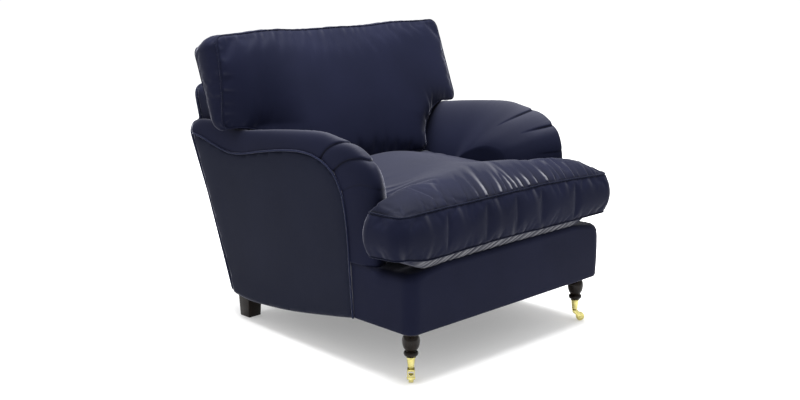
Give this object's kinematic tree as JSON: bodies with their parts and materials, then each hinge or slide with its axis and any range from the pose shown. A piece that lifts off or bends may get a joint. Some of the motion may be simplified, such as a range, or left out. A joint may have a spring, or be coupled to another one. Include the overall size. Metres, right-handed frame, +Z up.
{
  "type": "upholstered armchair",
  "caption": "Low Howard-style armchair with scrolled arms, loose T-shaped seat and back cushions, turned front legs on brass castors and square rear legs.",
  "frame": {"origin": "on the floor under the middle of the chair's bounding box", "axes": "+Z up, the front of the chair faces -Y, +X to the right for someone who faces the chair"},
  "size_m": [0.9144, 0.9864, 0.8718],
  "materials": {
    "navy_velvet": "navy cotton velvet with a short pile",
    "lining_cloth": "matt woven black lining",
    "cushion_filling": "cotton-cased feather and foam",
    "dark_wood": "dark stained, satin lacquer",
    "beech": "planed, unfinished",
    "castor_brass": "polished",
    "zip_brass": "dull",
    "steel": "bright wire and zinc plate"
  },
  "bodies": {
    "chair": {"arm_left": "navy_velvet", "arm_piping_left": "navy_velvet", "arm_piping_right": "navy_velvet", "arm_post_left": "beech", "arm_post_right": "beech", "arm_rail_left": "beech", "arm_rail_right": "beech", "arm_right": "navy_velvet", "back_lower_rail": "beech", "back_post_left": "beech", "back_post_right": "beech", "back_top_rail": "beech", "castor_cup_left": "castor_brass", "castor_cup_right": "castor_brass", "corner_block_front_left": "beech", "corner_block_front_right": "beech", "corner_block_rear_left": "beech", "corner_block_rear_right": "beech", "dust_cover": "lining_cloth", "front_border": "navy_velvet", "front_leg_left": "dark_wood", "front_leg_right": "dark_wood", "front_rail": "beech", "inside_back": "navy_velvet", "leg_bolt_front_left": "steel", "leg_bolt_front_right": "steel", "leg_bolt_rear_left": "steel", "leg_bolt_rear_right": "steel", "outside_arm_panel_left": "navy_velvet", "outside_arm_panel_right": "navy_velvet", "outside_back_panel": "navy_velvet", "rear_leg_left": "dark_wood", "rear_leg_right": "dark_wood", "rear_rail": "beech", "seat_deck": "lining_cloth", "seat_spring_1": "steel", "seat_spring_2": "steel", "seat_spring_3": "steel", "seat_spring_4": "steel", "side_rail_left": "beech", "side_rail_right": "beech"},
    "seat_cushion": {"seat_cushion_cover": "navy_velvet", "seat_cushion_filling": "cushion_filling", "seat_cushion_lower_piping": "navy_velvet", "seat_cushion_upper_piping": "navy_velvet", "seat_cushion_zip": "zip_brass"},
    "back_cushion": {"back_cushion_cover": "navy_velvet", "back_cushion_filling": "cushion_filling", "back_cushion_lower_piping": "navy_velvet", "back_cushion_upper_piping": "navy_velvet", "back_cushion_zip": "zip_brass"},
    "left_castor": {"castor_axle_left": "castor_brass", "castor_fork_left": "castor_brass", "castor_pin_left": "castor_brass"},
    "left_castor_wheel": {"castor_wheel_left": "castor_brass"},
    "right_castor": {"castor_axle_right": "castor_brass", "castor_fork_right": "castor_brass", "castor_pin_right": "castor_brass"},
    "right_castor_wheel": {"castor_wheel_right": "castor_brass"}
  },
  "joints": [
    {"name": "seat_cushion_slide", "type": "slide", "parent": "chair", "child": "seat_cushion", "axis": [0, -1, 0], "range_m": [0, 0.75]},
    {"name": "back_cushion_lift", "type": "slide", "parent": "chair", "child": "back_cushion", "axis": [0, 0, 1], "range_m": [0, 0.45]},
    {"name": "left_castor_swivel", "type": "hinge", "parent": "chair", "child": "left_castor", "pos_m": [-0.3522, -0.4387, 0.0335], "axis": [0, 0, 1], "continuous": true},
    {"name": "left_castor_roll", "type": "hinge", "parent": "left_castor", "child": "left_castor_wheel", "pos_m": [-0.36405, -0.45089, 0.0127], "axis": [0.7169, -0.6972, 0], "continuous": true},
    {"name": "right_castor_swivel", "type": "hinge", "parent": "chair", "child": "right_castor", "pos_m": [0.3522, -0.4387, 0.0335], "axis": [0, 0, 1], "continuous": true},
    {"name": "right_castor_roll", "type": "hinge", "parent": "right_castor", "child": "right_castor_wheel", "pos_m": [0.36439, -0.45055, 0.0127], "axis": [0.6972, 0.7169, 0], "continuous": true}
  ]
}
